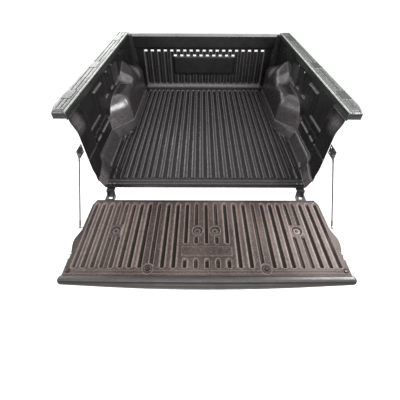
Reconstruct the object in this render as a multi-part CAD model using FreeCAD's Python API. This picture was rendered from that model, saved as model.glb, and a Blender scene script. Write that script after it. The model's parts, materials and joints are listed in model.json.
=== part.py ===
"""Drop-in bed liner for a small pickup: tub, over-rail caps, hinged and lined tailgate, and two cable stays.

Millimetres. X runs across the bed, +Y towards the cab, +Z up. The origin is the middle of the tub's
underside, which lies on the truck's bed floor. The tailgate is modelled open, level on its stays.
"""

import FreeCAD
import Part
import os

V = FreeCAD.Vector

# ---- Driving dimensions ---------------------------------------------------------------------------
SHEET = 5.0  # moulded sheet thickness
REAR = -770.0  # rear edge of the tub
FLOOR_LENGTH = 1530.0  # rear edge to the bulkhead's inner face
FLOOR_TOP = 16.0  # top of the floor ribs
WALL_HEIGHT = 505.0  # floor rib tops to the sheet's top edge
RAIL_HEIGHT = 517.0  # floor rib tops to the top of the rail caps

FLOOR_HALF = 642.0  # where the floor starts to turn up
COVE_HALF, COVE_RISE = 702.0, 90.0  # top of the side cove
WALL_TOP_HALF = 719.0  # inner face of the side wall at its top edge

RIB_PITCH, OUTER_PITCH = 53.6, 44.2  # spacing of the floor grooves, middle and outer
MID_GROOVES, OUTER_GROOVES = 13, 7
GROOVE_WIDTH, OUTER_GROOVE_WIDTH, GROOVE_DEPTH = 26.0, 21.0, 10.0
GROOVE_START, GROOVE_END = 80.0, 1456.0  # measured forward from the rear edge

ARCH_INNER, ARCH_TOP = 586.0, 272.0  # half width between the arches, arch height above the rib tops
ARCH_REAR_WALL, ARCH_REAR_INNER = 540.0, 765.0  # the oblique rear face, at the wall and at its inner edge
ARCH_FRONT, ARCH_FRONT_BEVEL = 1432.0, 60.0
ARCH_ROUND = 55.0

PILLAR_FACE, PILLAR_FROM, PILLAR_TO, PILLAR_HIGH = 676.0, 12.0, 190.0, 450.0

VENT_PITCH, VENT_WIDE, VENT_HIGH = 63.1, 28.0, 16.0
VENT_ROWS = ((19, 362.0), (10, 319.0))  # count, height above the rib tops
PLATE_HALF, PLATE_LOW, PLATE_HIGH, PLATE_PROUD = 297.0, 143.0, 306.0, 5.0

RAIL_INNER, RAIL_OUTER = 715.0, 800.0
RAIL_BACK, RAIL_FRONT = -3.0, 1552.0  # ends of the rail caps, from the tub's rear edge
RAIL_PLATE, RAIL_SKIRT, RAIL_SKIRT_IN, RAIL_SKIRT_OUT = 4.0, 2.4, 44.0, 34.0
RAIL_TAPER, RAIL_TAPER_LENGTH = 22.0, 90.0
POCKETS = ((149.0, 259.0), (619.0, 736.0), (1264.0, 1429.0))  # the smooth covers, along the rail
POCKET_INNER, POCKET_OUTER = 740.0, 793.0

GATE_NEAR, GATE_FAR = -93.0, -605.0  # tailgate liner, from hinge side to free edge
GATE_HALF_NEAR, GATE_HALF_FAR = 684.0, 698.0
GATE_TOP = -20.0  # below the floor's rib tops
GATE_SHEET, GATE_THICK, GATE_SKIN, GATE_SIDE = 12.0, 60.0, 2.5, 5.0
GATE_PITCH, GATE_OUTER_PITCH = 55.0, 45.0
GATE_GROOVE, GATE_GROOVE_DEPTH = 19.0, 7.0

PIN_Y, PIN_Z, PIN_R, RUN = -70.0, -55.0, 6.0, 0.06  # hinge axis, pin radius, running clearance
HINGE_X, HINGE_HALF, EAR = 600.0, 26.0, 10.0  # the bracket's half width and its ears' width

RECESS_X, RECESS_Y, RECESS_R, RECESS_DEPTH = (48.0, 495.0), -322.0, 25.0, 8.0
BOSS_X, BOSS_Y, CORNER_X, CORNER_Y = 287.0, -547.0, 668.0, -557.0

STAY_X, STAY_R = 714.0, 3.0
STAY_TOP, STAY_LOW = (-12.0, 262.0), (-276.0, -52.0)  # (along, up) of the stay's two studs
STAY_BOLTS, STAY_BOLT_GAP, STAY_BOLT_R = 40.0, 36.0, 4.2  # the upper bracket's two bolts
LATCH_X, LATCH_Y = 672.0, -468.0
SCREW_R = 3.0
WALL_SCREWS, WALL_SCREW_Z = (715.0, 855.0), 456.0
BRACKET, BRACKET_SCREW_Y = 4.0, 30.0


def y(along):
    """Forward of the tub's rear edge, in the part's own frame."""
    return REAR + along


def z(up):
    """Above the floor's rib tops, in the part's own frame."""
    return FLOOR_TOP + up


def box(x0, x1, y0, y1, z0, z1):
    return Part.makeBox(x1 - x0, y1 - y0, z1 - z0, V(x0, y0, z0))


def prism(points, direction):
    """A closed outline of (x, y, z) points, swept along a vector."""
    corners = [V(*p) for p in points]
    return Part.Face(Part.makePolygon(corners + corners[:1])).extrude(V(*direction))


def disc(radius, x0, y0, z0, height):
    return Part.makeCylinder(radius, height, V(x0, y0, z0))


def rod(radius, start, end):
    run = V(*end) - V(*start)
    return Part.makeCylinder(radius, run.Length, V(*start), run)


def mirrored(shape):
    return shape.mirror(V(0, 0, 0), V(1, 0, 0))


def rounded(shape, radius, wanted):
    """Fillets the edges that wanted() picks."""
    return shape.makeFillet(radius, [e for e in shape.Edges if wanted(e)])


def groove_lines(pitch, outer_pitch, middle, outer):
    """(x, is it an outer one) of each lengthwise groove."""
    half = (middle - 1) // 2
    lines = [(i * pitch, False) for i in range(-half, half + 1)]
    first = half * pitch + (pitch + outer_pitch) / 2
    for i in range(outer):
        lines += [(side * (first + i * outer_pitch), True) for side in (-1, 1)]
    return lines


# ---- Tub ------------------------------------------------------------------------------------------
def trough(inset, y0, y1, top):
    """The tub's cross-section swept along Y, drawn in from its outer face by inset."""
    low = FLOOR_TOP if inset else 0.0
    half = [
        (FLOOR_HALF + SHEET - inset, low),
        (FLOOR_HALF + 38 - inset, z(18) - SHEET + inset),
        (COVE_HALF + SHEET - inset, z(COVE_RISE)),
        (WALL_TOP_HALF + SHEET - inset, top),
    ]
    outline = half + [(-x, h) for x, h in reversed(half)]
    return prism([(x, y0, h) for x, h in outline], (0, y1 - y0, 0))


def arch(inset, base, outside):
    """One wheel-arch cover, on the right: an oblique rear face, a bevelled front and a rounded top."""
    lean = (ARCH_REAR_INNER - ARCH_REAR_WALL) / (COVE_HALF - ARCH_INNER)
    inner = ARCH_INNER + inset
    rear_inner = y(ARCH_REAR_INNER) + inset
    front = y(ARCH_FRONT) - inset
    plan = [
        (outside, rear_inner - lean * (outside - inner)),
        (inner, rear_inner),
        (inner, front - ARCH_FRONT_BEVEL),
        (inner + ARCH_FRONT_BEVEL, front),
        (outside, front),
    ]
    top = z(ARCH_TOP) - inset
    solid = prism([(px, py, base) for px, py in plan], (0, 0, top - base))
    near_top = [
        e for e in solid.Edges
        if abs(e.BoundBox.ZMin - top) < 0.1 and e.BoundBox.XMin < outside - 1
    ]
    return solid.makeFillet(ARCH_ROUND - inset, near_top)


def pillar(inset, base, outside):
    """The rounded post at the rear end of a side wall, on the right."""
    face = PILLAR_FACE + inset
    solid = box(face, outside, y(PILLAR_FROM) + inset, y(PILLAR_TO) - inset, base, z(PILLAR_HIGH) - inset)
    return rounded(
        solid, 18.0 - inset,
        lambda e: e.BoundBox.XMax < face + 0.1 and (e.BoundBox.ZLength > 50 or e.BoundBox.ZMin > z(300)),
    )


def floor_grooves():
    cuts = []
    for x0, outer in groove_lines(RIB_PITCH, OUTER_PITCH, MID_GROOVES, OUTER_GROOVES):
        half = (OUTER_GROOVE_WIDTH if outer else GROOVE_WIDTH) / 2
        beyond_arch = abs(x0) + half > ARCH_INNER - 20
        start = GROOVE_START + (85.0 if abs(x0) > 620 else 0.0)
        end = ARCH_REAR_WALL + 20 if beyond_arch else GROOVE_END
        cuts.append(box(x0 - half, x0 + half, y(start), y(end), FLOOR_TOP - GROOVE_DEPTH, FLOOR_TOP + 1))
    return cuts


def rib_hollows():
    """The underside of each raised rib, open below as a formed sheet is."""
    xs = sorted(groove_lines(RIB_PITCH, OUTER_PITCH, MID_GROOVES, OUTER_GROOVES))
    cuts = []
    for (xa, oa), (xb, ob) in zip(xs, xs[1:]):
        x0 = xa + (OUTER_GROOVE_WIDTH if oa else GROOVE_WIDTH) / 2 + SHEET
        x1 = xb - (OUTER_GROOVE_WIDTH if ob else GROOVE_WIDTH) / 2 - SHEET
        beyond_arch = max(abs(x0), abs(x1)) > ARCH_INNER - 20
        end = ARCH_REAR_WALL if beyond_arch else GROOVE_END
        cuts.append(box(x0, x1, y(GROOVE_START + 90), y(end), -1, FLOOR_TOP - SHEET))
    return cuts


def vents():
    cuts = []
    for count, height in VENT_ROWS:
        for i in range(count):
            x0 = (i - (count - 1) / 2) * VENT_PITCH
            cuts.append(box(
                x0 - VENT_WIDE / 2, x0 + VENT_WIDE / 2,
                y(FLOOR_LENGTH) - PLATE_PROUD - 1, y(FLOOR_LENGTH) + SHEET + 1,
                z(height - VENT_HIGH / 2), z(height + VENT_HIGH / 2),
            ))
    return cuts


def bulkhead_cove():
    """The rounded foot of the bulkhead."""
    radius = 36.0
    wall = y(FLOOR_LENGTH)
    block = box(-ARCH_INNER, ARCH_INNER, wall - radius, wall + 1, FLOOR_TOP - 1, FLOOR_TOP + radius)
    centre = [(side, wall - radius, z(radius)) for side in (-ARCH_INNER, ARCH_INNER)]
    return block.cut(rod(radius, *centre))


def tub_holes():
    """Seats and screw holes for the hinge brackets, and holes for the wall screws and the stay bolts."""
    seats = [box(s * HINGE_X - 27, s * HINGE_X + 27, y(-1), y(46), -1, BRACKET + 0.2) for s in (-1, 1)]
    screws = [
        disc(SCREW_R + 0.3, s * HINGE_X + dx, y(BRACKET_SCREW_Y), -1, 30) for s in (-1, 1) for dx in (-14, 14)
    ]
    walls = [
        Part.makeCylinder(SCREW_R + 0.3, 60, V(s * 690, y(a), z(WALL_SCREW_Z)), V(s, 0, 0))
        for s in (-1, 1) for a in WALL_SCREWS
    ]
    return seats + screws + walls


def tub_liner():
    front, top = y(FLOOR_LENGTH) + SHEET, z(WALL_HEIGHT)
    outer = trough(0.0, y(0), front, top)
    shell = outer.cut(trough(SHEET, y(0) - 1, y(FLOOR_LENGTH), top + 0.01))
    bulges = [arch(0.0, 0.5, WALL_TOP_HALF), pillar(0.0, 0.5, WALL_TOP_HALF)]
    bulges = [bulge.common(outer) for bulge in bulges]
    bulkhead = y(FLOOR_LENGTH)
    plate = box(-PLATE_HALF, PLATE_HALF, bulkhead - PLATE_PROUD, bulkhead + 1, z(PLATE_LOW), z(PLATE_HIGH))
    shell = shell.fuse(bulges + [mirrored(bulge) for bulge in bulges] + [plate, bulkhead_cove()])
    hollows = [arch(SHEET, -1.0, 760.0), pillar(SHEET, -1.0, 760.0)]
    hollows += [mirrored(hollow) for hollow in hollows]
    shell = shell.cut(hollows + floor_grooves() + rib_hollows() + vents())
    return shell.cut(tub_holes()).removeSplitter()


# ---- Rails and bulkhead cap -----------------------------------------------------------------------
def rail_outline(inset, level):
    """Plan of the right rail cap at a level, drawn in by inset. Its rear outer corner tapers."""
    inner, outer = RAIL_INNER + inset, RAIL_OUTER - inset
    rear, front = y(RAIL_BACK) + inset, y(RAIL_FRONT) - inset
    taper = [(outer - RAIL_TAPER, rear), (outer, rear + RAIL_TAPER_LENGTH)]
    return [(px, py, level) for px, py in [(inner, rear)] + taper + [(outer, front), (inner, front)]]


def rail_cap():
    top = z(RAIL_HEIGHT)
    low, step = top - RAIL_SKIRT_IN, top - RAIL_SKIRT_OUT
    block = prism(rail_outline(0, low), (0, 0, RAIL_SKIRT_IN))
    core = prism(rail_outline(RAIL_SKIRT, low - 1), (0, 0, RAIL_SKIRT_IN + 1 - RAIL_PLATE))
    below = box(RAIL_INNER + RAIL_SKIRT, RAIL_OUTER + 1, y(RAIL_BACK - 1), y(RAIL_FRONT + 1), low - 1, step)
    openings = [
        box(POCKET_INNER + 6, POCKET_OUTER - 6, y(a + 8), y(b - 8), top - 20, top + 1) for a, b in POCKETS
    ]
    over_bulkhead = box(
        RAIL_INNER - 1, RAIL_INNER + RAIL_SKIRT + 1, y(FLOOR_LENGTH) - 5, y(FLOOR_LENGTH) + SHEET + 2,
        low - 1, z(WALL_HEIGHT) + 0.3,
    )
    return block.cut([core, below, over_bulkhead] + openings)


def pocket_cover(span):
    """A smooth snap-in cover over one stake pocket, on the right rail."""
    a, b = span
    top = z(RAIL_HEIGHT)
    lid = box(POCKET_INNER, POCKET_OUTER, y(a), y(b), top, top + 4)
    lid = rounded(lid, 3.0, lambda e: e.BoundBox.ZMin > top + 3.9)
    plug = box(POCKET_INNER + 6.3, POCKET_OUTER - 6.3, y(a + 8.3), y(b - 8.3), top - 9, top)
    well = box(POCKET_INNER + 9.3, POCKET_OUTER - 9.3, y(a + 11.3), y(b - 11.3), top - 10, top)
    return lid.fuse(plug).cut(well).removeSplitter()


def bulkhead_cap():
    """A channel pressed over the bulkhead's top edge, between the rails."""
    inner, outer = y(FLOOR_LENGTH), y(FLOOR_LENGTH) + SHEET
    low, high = z(WALL_HEIGHT - 16), z(WALL_HEIGHT + 7)
    half = RAIL_INNER - 2
    cap = box(-half, half, inner - 4.0, outer + 9.0, low, high)
    cap = rounded(cap, 3.0, lambda e: e.BoundBox.ZMin > high - 0.1 and e.BoundBox.XLength > 100)
    return cap.cut(box(-half - 1, half + 1, inner - 0.3, outer + 0.3, low - 1, z(WALL_HEIGHT) + 0.3))


# ---- Screws ---------------------------------------------------------------------------------------
def screw(x0, y0, z0, direction, length, washer):
    """A pan-head screw: its head sits on (x0, y0, z0) and it points along direction."""
    at, along = V(x0, y0, z0), V(*direction)
    head = Part.makeCylinder(6.5, 3.5, at - along * (3.5 + washer), along)
    head = rounded(head, 1.5, lambda e: (e.CenterOfMass - at).Length > washer + 3.3)
    shank = Part.makeCylinder(SCREW_R, length + washer, at - along * washer, along)
    solid = head.fuse(shank)
    if washer:
        solid = solid.fuse(Part.makeCylinder(11.0, washer, at - along * washer, along))
    return solid.removeSplitter()


def wall_face(up):
    """Half width of the wall's inner face, at a height above the rib tops."""
    share = (up - COVE_RISE) / (WALL_HEIGHT - COVE_RISE)
    return COVE_HALF + share * (WALL_TOP_HALF - COVE_HALF)


def wall_screws():
    face = wall_face(WALL_SCREW_Z) - 0.6
    return [screw(s * face, y(a), z(WALL_SCREW_Z), (s, 0, 0), 22, 2) for s in (-1, 1) for a in WALL_SCREWS]


def bracket_screws():
    """Down through the tub's rear strip and the hinge brackets."""
    return [
        screw(s * HINGE_X + dx, y(BRACKET_SCREW_Y), FLOOR_TOP, (0, 0, -1), FLOOR_TOP, 0)
        for s in (-1, 1) for dx in (-14, 14)
    ]


# ---- Hinges ---------------------------------------------------------------------------------------
def hinge_bracket():
    """Right bracket: a foot under the tub, a leg down to two ears, bored for the pin."""
    x0, x1 = HINGE_X - HINGE_HALF, HINGE_X + HINGE_HALF
    py, pz = y(PIN_Y), z(PIN_Z)
    foot = box(x0, x1, y(-20), y(45), 0, BRACKET)
    leg = box(x0, x1, y(-24), y(-20), pz - 14, BRACKET)
    ears = []
    for ear in (x0, x1 - EAR):
        ears.append(box(ear, ear + EAR, py, y(-20), pz - 14, pz + 14))
        ears.append(rod(14, (ear, py, pz), (ear + EAR, py, pz)))
    bore = rod(PIN_R, (x0 - 10, py, pz), (x1 + 10, py, pz))
    holes = [disc(SCREW_R + 0.3, HINGE_X + dx, y(BRACKET_SCREW_Y), -1, 10) for dx in (-14, 14)]
    return foot.fuse([leg] + ears).cut([bore] + holes).removeSplitter()


def hinge_pin():
    x0, x1, py, pz = HINGE_X - HINGE_HALF - 1, HINGE_X + HINGE_HALF + 1, y(PIN_Y), z(PIN_Z)
    head = rod(PIN_R + 3, (x0 - 3, py, pz), (x0, py, pz))
    return rod(PIN_R, (x0, py, pz), (x1, py, pz)).fuse(head).removeSplitter()


def hinge_knuckle():
    """Right knuckle: a barrel on the pin with a strap along the tailgate's underside."""
    half = HINGE_HALF - EAR - 1
    x0, x1, py, pz = HINGE_X - half, HINGE_X + half, y(PIN_Y), z(PIN_Z)
    under = z(GATE_TOP - GATE_THICK)
    barrel = rod(13, (x0, py, pz), (x1, py, pz))
    strap = box(x0, x1, y(GATE_NEAR - 120), py, under - 4, under)
    riser = box(x0, x1, py - 13, py, under - 4, pz)
    bore = rod(PIN_R + RUN, (x0 - 1, py, pz), (x1 + 1, py, pz))
    return barrel.fuse([strap, riser]).cut(bore).removeSplitter()


# ---- Tailgate -------------------------------------------------------------------------------------
def recess_places():
    return [(s * px, RECESS_Y) for s in (-1, 1) for px in RECESS_X]


def surface_places():
    return [(s * px, py) for s in (-1, 1) for px, py in ((BOSS_X, BOSS_Y), (CORNER_X, CORNER_Y))]


def gate_plan(grow, near, far, level):
    """The tailgate's outline at a level: it widens in a step past the stay studs."""
    a, b = GATE_HALF_NEAR + grow, GATE_HALF_FAR + grow
    half = [(a - 14, near), (a, near - 30), (a + 3, -310), (b, -372), (b - 2, far)]
    outline = half + [(-px, py) for px, py in reversed(half)]
    return [(px, y(py), level) for px, py in outline]


def tailgate_shell():
    """The carrier: a shallow tray under the liner panel."""
    top, low = z(GATE_TOP - GATE_SHEET), z(GATE_TOP - GATE_THICK)
    shell = prism(gate_plan(0, GATE_NEAR, GATE_FAR + 16, low), (0, 0, top - low))
    inner = prism(
        gate_plan(-GATE_SIDE, GATE_NEAR - GATE_SIDE, GATE_FAR + 16 + GATE_SIDE, low + GATE_SKIN),
        (0, 0, top - low - 2 * GATE_SKIN),
    )
    seats = [disc(SCREW_R, px, y(py), top - 14, 15) for px, py in recess_places() + surface_places()]
    studs = [rod(4, stay_point(STAY_LOW, s * 668), stay_point(STAY_LOW, s * 728)) for s in (-1, 1)]
    pocket = box(LATCH_X - 0.2, 800, y(LATCH_Y) - 20.2, y(LATCH_Y) + 20.2, top - 10.2, top + 1)
    return shell.cut([inner, pocket, mirrored(pocket)] + seats + studs)


def tailgate_liner():
    """The ribbed panel: flat pads between lengthwise grooves, with a lower strip along the free edge."""
    low, high = z(GATE_TOP - GATE_SHEET), z(GATE_TOP)
    panel = prism(gate_plan(-8, GATE_NEAR - 2, GATE_FAR + 16, low), (0, 0, high - low))
    cuts = [box(-800, 800, y(GATE_FAR), y(GATE_FAR + 58), high - 4, high + 1)]
    plaque_near, plaque_far = -408.0, -490.0
    for x0, _ in groove_lines(GATE_PITCH, GATE_OUTER_PITCH, MID_GROOVES, OUTER_GROOVES):
        spans = [(GATE_NEAR - 30, GATE_FAR + 60)]
        if abs(x0) < 2.5 * GATE_PITCH:
            spans = [(GATE_NEAR - 30, plaque_near), (plaque_far, GATE_FAR + 60)]
        left, right, bottom = x0 - GATE_GROOVE / 2, x0 + GATE_GROOVE / 2, high - GATE_GROOVE_DEPTH
        cuts += [box(left, right, y(far), y(near), bottom, high + 1) for near, far in spans]
    panel = panel.cut(cuts)
    bosses = [disc(22, s * BOSS_X, y(BOSS_Y), low + 1, high - low - 1) for s in (-1, 1)]
    rings = [disc(RECESS_R + 12, px, y(py), low + 1, high - low - 1) for px, py in recess_places()]
    panel = panel.fuse(bosses + rings)
    wells = [disc(RECESS_R, px, y(py), high - RECESS_DEPTH, 20) for px, py in recess_places()]
    holes = [disc(SCREW_R + 0.3, px, y(py), low - 1, 20) for px, py in recess_places() + surface_places()]
    return panel.cut(wells + holes).removeSplitter()


def tailgate_cap():
    """The strip along the free edge, bowed outward in the middle, with rounded ends."""
    top, low = z(GATE_TOP - 2), z(GATE_TOP - GATE_THICK)
    half, edge, bow = GATE_HALF_FAR + 8, y(GATE_FAR) + 15.7, 18.0
    a, b, c = V(-half, edge - 14, low), V(0, edge - 18 - bow, low), V(half, edge - 14, low)
    outline = Part.Wire([
        Part.LineSegment(V(half, edge, low), V(-half, edge, low)).toShape(),
        Part.LineSegment(V(-half, edge, low), a).toShape(),
        Part.Arc(a, b, c).toShape(),
        Part.LineSegment(c, V(half, edge, low)).toShape(),
    ])
    strip = Part.Face(outline).extrude(V(0, 0, top - low))
    return rounded(strip, 4.0, lambda e: e.BoundBox.ZMin > top - 0.1 and e.BoundBox.YMin < edge - 20)


def recess_washers():
    low = z(GATE_TOP) - RECESS_DEPTH
    hole = SCREW_R + 0.3
    return [disc(19, px, y(py), low, 2).cut(disc(hole, px, y(py), low - 1, 4)) for px, py in recess_places()]


def recess_screws():
    level = z(GATE_TOP) - RECESS_DEPTH + 2
    return [screw(px, y(py), level, (0, 0, -1), 14, 0) for px, py in recess_places()]


def surface_screws():
    """Two in the round bosses and two in the corners of the lower strip."""
    return [
        screw(px, y(py), z(GATE_TOP) - (4 if abs(px) > BOSS_X else 0), (0, 0, -1), 22, 0)
        for px, py in surface_places()
    ]


def latch():
    """Right latch tongue, let into the carrier's side."""
    top = z(GATE_TOP - GATE_SHEET)
    plate = box(LATCH_X, GATE_HALF_FAR + 5, y(LATCH_Y) - 20, y(LATCH_Y) + 20, top - 10, top - 0.2)
    mouth = box(GATE_HALF_FAR - 6, GATE_HALF_FAR + 6, y(LATCH_Y) - 6, y(LATCH_Y) + 6, top - 11, top)
    return plate.cut(mouth)


# ---- Stays ----------------------------------------------------------------------------------------
def stay_point(place, x0=STAY_X):
    return (x0, y(place[0]), z(place[1]))


def stay_bracket():
    """Right upper bracket: a strip beside the wall's end, bolted outward, with a stud for the cable's eye."""
    x0 = wall_face(STAY_TOP[1] + 30) + SHEET + 2
    strip = box(x0, x0 + 3, y(STAY_TOP[0]) - 12, y(STAY_BOLTS) + 14, z(STAY_TOP[1] - 30), z(STAY_TOP[1] + 30))
    px, py, pz = stay_point(STAY_TOP)
    stud = rod(4, (px - 6, py, pz), (x0 + 3, py, pz))
    head = rod(7, (px - 8, py, pz), (px - 5, py, pz))
    bolts = [
        rod(STAY_BOLT_R, (x0 - 1, y(STAY_BOLTS), pz + dz), (x0 + 4, y(STAY_BOLTS), pz + dz))
        for dz in (-STAY_BOLT_GAP / 2, STAY_BOLT_GAP / 2)
    ]
    return strip.fuse([stud, head]).cut(bolts).removeSplitter()


def stay_stud():
    """Right lower stud, screwed into the carrier's side."""
    px, py, pz = stay_point(STAY_LOW)
    head = rod(7, (px + 4, py, pz), (px + 7, py, pz))
    return rod(4, (px - 46, py, pz), (px + 4, py, pz)).fuse(head).removeSplitter()


def stay_eye(place):
    """The ring that holds a cable's end on its stud."""
    px, py, pz = stay_point(place, STAY_X - 2)
    ring = Part.makeCylinder(9, 4, V(px, py, pz), V(1, 0, 0))
    return ring.cut(Part.makeCylinder(4.05, 6, V(px - 1, py, pz), V(1, 0, 0)))


def stay_cable():
    """The right cable, straight and taut from ring to ring."""
    a, b = V(*stay_point(STAY_TOP)), V(*stay_point(STAY_LOW))
    along = (b - a).normalize()
    return rod(STAY_R, tuple(a + along * 9.3), tuple(b - along * 9.3))


# ---- Output ---------------------------------------------------------------------------------------
def write(name, *shapes):
    shape = shapes[0] if len(shapes) == 1 else Part.makeCompound(list(shapes))
    shape.exportStep(f"parts/{name}.step")


def write_pair(name, shape):
    write(f"{name}_right", shape)
    write(f"{name}_left", mirrored(shape))


os.makedirs("parts", exist_ok=True)
write("tub_liner", tub_liner())
write("bulkhead_cap", bulkhead_cap())
write_pair("rail_cap", rail_cap())
for label, span in zip(("rear", "middle", "front"), POCKETS):
    write_pair(f"pocket_cover_{label}", pocket_cover(span))
write("wall_screws", *wall_screws())
write("bracket_screws", *bracket_screws())
write_pair("hinge_bracket", hinge_bracket())
write_pair("hinge_pin", hinge_pin())
write_pair("stay_bracket", stay_bracket())
write_pair("stay_eye_upper", stay_eye(STAY_TOP))
write_pair("stay_cable", stay_cable())
write("tailgate_shell", tailgate_shell())
write("tailgate_liner", tailgate_liner())
write("tailgate_cap", tailgate_cap())
write("recess_washers", *recess_washers())
write("recess_screws", *recess_screws())
write("surface_screws", *surface_screws())
write_pair("hinge_knuckle", hinge_knuckle())
write_pair("latch", latch())
write_pair("stay_stud", stay_stud())
write_pair("stay_eye_lower", stay_eye(STAY_LOW))
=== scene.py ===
import json
import math

import bmesh
import bpy
import numpy as np
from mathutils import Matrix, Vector


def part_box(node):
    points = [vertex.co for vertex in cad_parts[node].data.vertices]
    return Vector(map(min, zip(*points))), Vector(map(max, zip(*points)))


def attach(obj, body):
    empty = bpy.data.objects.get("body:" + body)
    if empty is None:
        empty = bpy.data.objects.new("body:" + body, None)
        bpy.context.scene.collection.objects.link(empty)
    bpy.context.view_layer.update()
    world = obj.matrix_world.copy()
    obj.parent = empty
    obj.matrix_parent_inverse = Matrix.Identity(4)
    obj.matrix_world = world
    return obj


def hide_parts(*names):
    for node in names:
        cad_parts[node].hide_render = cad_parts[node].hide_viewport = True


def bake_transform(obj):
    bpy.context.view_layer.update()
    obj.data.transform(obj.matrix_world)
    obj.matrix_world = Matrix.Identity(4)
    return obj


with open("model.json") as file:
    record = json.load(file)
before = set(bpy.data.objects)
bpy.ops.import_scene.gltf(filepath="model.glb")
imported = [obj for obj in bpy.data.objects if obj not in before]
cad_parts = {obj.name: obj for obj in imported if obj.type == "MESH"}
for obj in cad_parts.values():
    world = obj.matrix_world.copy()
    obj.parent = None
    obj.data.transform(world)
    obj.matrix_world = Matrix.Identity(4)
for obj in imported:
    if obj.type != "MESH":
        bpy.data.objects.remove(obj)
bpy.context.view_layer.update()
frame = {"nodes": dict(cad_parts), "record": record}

# Shapes are worked out in millimetres: x across, "along" forward of the tub's rear edge, "up" above the
# floor's rib tops. place() turns them into the frame's metres.
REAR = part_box("tub_liner")[0][1]  # metres
RIB_TOP = 0.016  # metres

# ---- Driving dimensions, millimetres -------------------------------
FLOOR_LENGTH, WALL_TOP = 1530.0, 505.0
SHEET, RAIL_SHEET = 3.5, 2.2
WALL_FOOT, WALL_FOOT_UP = 705.0, 90.0  # inner face of the wall, and the height at which it is given
WALL_LEAN = 0.034  # how fast the wall leans out
GROOVES_EACH = 7  # broad grooves on one half, the middle one included, and narrow ones beyond them
RIB_PITCH, OUTER_PITCH = 53.6, 44.2
GROOVE, OUTER_GROOVE, GROOVE_DEPTH = 27.0, 22.0, 12.5
GROOVE_EDGE = 4.0  # width of a groove's sloping side
ARCH_INNER, ARCH_EDGE, ARCH_REAR_EDGE, ARCH_TOP = 585.0, 214.0, 150.0, 274.0
ARCH_WALL, ARCH_CORNER, ARCH_FRONT = 530.0, 755.0, 1430.0
VENT_PITCH, VENT_WIDE, VENT_HIGH = 63.1, 28.0, 16.0
VENT_ROWS = ((19, 362.0), (10, 319.0))  # how many, and their height
GATE_PITCH, GATE_OUTER_PITCH, GATE_GROOVE, GATE_DEPTH = 55.0, 45.0, 22.0, 10.5


def place(points):
    """Millimetres (x, along, up) to frame metres."""
    return np.asarray(points) * 0.001 + np.array([0.0, REAR, RIB_TOP])


# ---- Small geometry helpers ----------------------------------------
def smooth(t):
    """0 below 0, 1 above 1, and a soft S between."""
    t = np.clip(t, 0.0, 1.0)
    return t * t * (3 - 2 * t)


def stations(low, high, edges, step, width=3.0):
    """Grid lines from low to high: close round every edge, elsewhere at most a step apart."""
    near = [e + share * width for e in edges for share in (-1, -0.5, 0, 0.5, 1)]
    marks = sorted({round(v, 2) for v in near + [low, high] if low <= v <= high})
    lines = [marks[0]]
    for mark in marks[1:]:
        gap = mark - lines[-1]
        if gap < 0.6 and mark < high:
            continue
        count = max(1, math.ceil(gap / step))
        lines += [lines[-1] + gap * (i + 1) / count for i in range(count)]
    return np.array(lines)


def block(u, v, u0, u1, v0, v1, edge):
    """1 inside a rectangle of (u, v), 0 outside, with soft edges of the given width."""
    side = smooth((u - u0) / edge + 0.5) * smooth((u1 - u) / edge + 0.5)
    return side * smooth((v - v0) / edge + 0.5) * smooth((v1 - v) / edge + 0.5)


def slot_inside(u, v, centre, width, v0, v1):
    """Distance inside a round-ended slot along v, negative outside it."""
    half = width / 2
    along = np.clip(v, v0 + half, v1 - half)
    return half - np.hypot(u - centre, v - along)


def groove_shade(inside):
    """Painted shade along the foot of a groove's sides, thinner on its floor."""
    return smooth((inside - 1.5) / 3) * (1 - 0.6 * smooth((inside - 5.5) / 3))


def rim_band(inside, width):
    """1 on the edge of a slot, fading over the width to each side."""
    return smooth(1 - np.abs(inside + 0.2 * width) / width)


def grid(x, along, up):
    """Points of a grid, from its x, along and up."""
    return np.stack([x, np.broadcast_to(along, x.shape), up], axis=-1)


def show(name, data):
    """A new object in the scene."""
    piece = bpy.data.objects.new(name, data)
    bpy.context.collection.objects.link(piece)
    return piece


def grid_object(name, points, painted_highlight, deep, close=True):
    """A mesh from a grid of points (rows, columns, 3), with a painted highlight value and a painted shade
    value (deep) at each.
    """
    rows, cols = points.shape[:2]
    mesh = bpy.data.meshes.new(name)
    index = np.arange(rows * cols).reshape(rows, cols)
    quads = np.stack([index[:-1, :-1], index[:-1, 1:], index[1:, 1:], index[1:, :-1]], axis=-1)
    mesh.from_pydata(place(points).reshape(-1, 3).tolist(), [], quads.reshape(-1, 4).tolist())
    # the first value paints highlights, deep paints shade
    for label, values in (("painted_highlight", painted_highlight), ("deep", deep)):
        layer = mesh.attributes.new(label, "FLOAT", "POINT")
        layer.data.foreach_set("value", np.asarray(values, dtype=np.float32).reshape(-1))
    mesh.polygons.foreach_set("use_smooth", [True] * len(mesh.polygons))
    piece = show(name, mesh)
    if close:
        piece.modifiers.new("Weld", "WELD").merge_threshold = 0.00002
    return piece


def settle(piece):
    """Applies a piece's modifiers."""
    graph = bpy.context.evaluated_depsgraph_get()
    mesh = bpy.data.meshes.new_from_object(piece.evaluated_get(graph))
    piece.modifiers.clear()
    piece.data = mesh
    return piece


def thicken(piece, thickness):
    """Gives a sheet its thickness, on the side away from its normals."""
    solid = piece.modifiers.new("Solid", "SOLIDIFY")
    solid.thickness, solid.offset = thickness * 0.001, -1.0
    return settle(piece)


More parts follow.
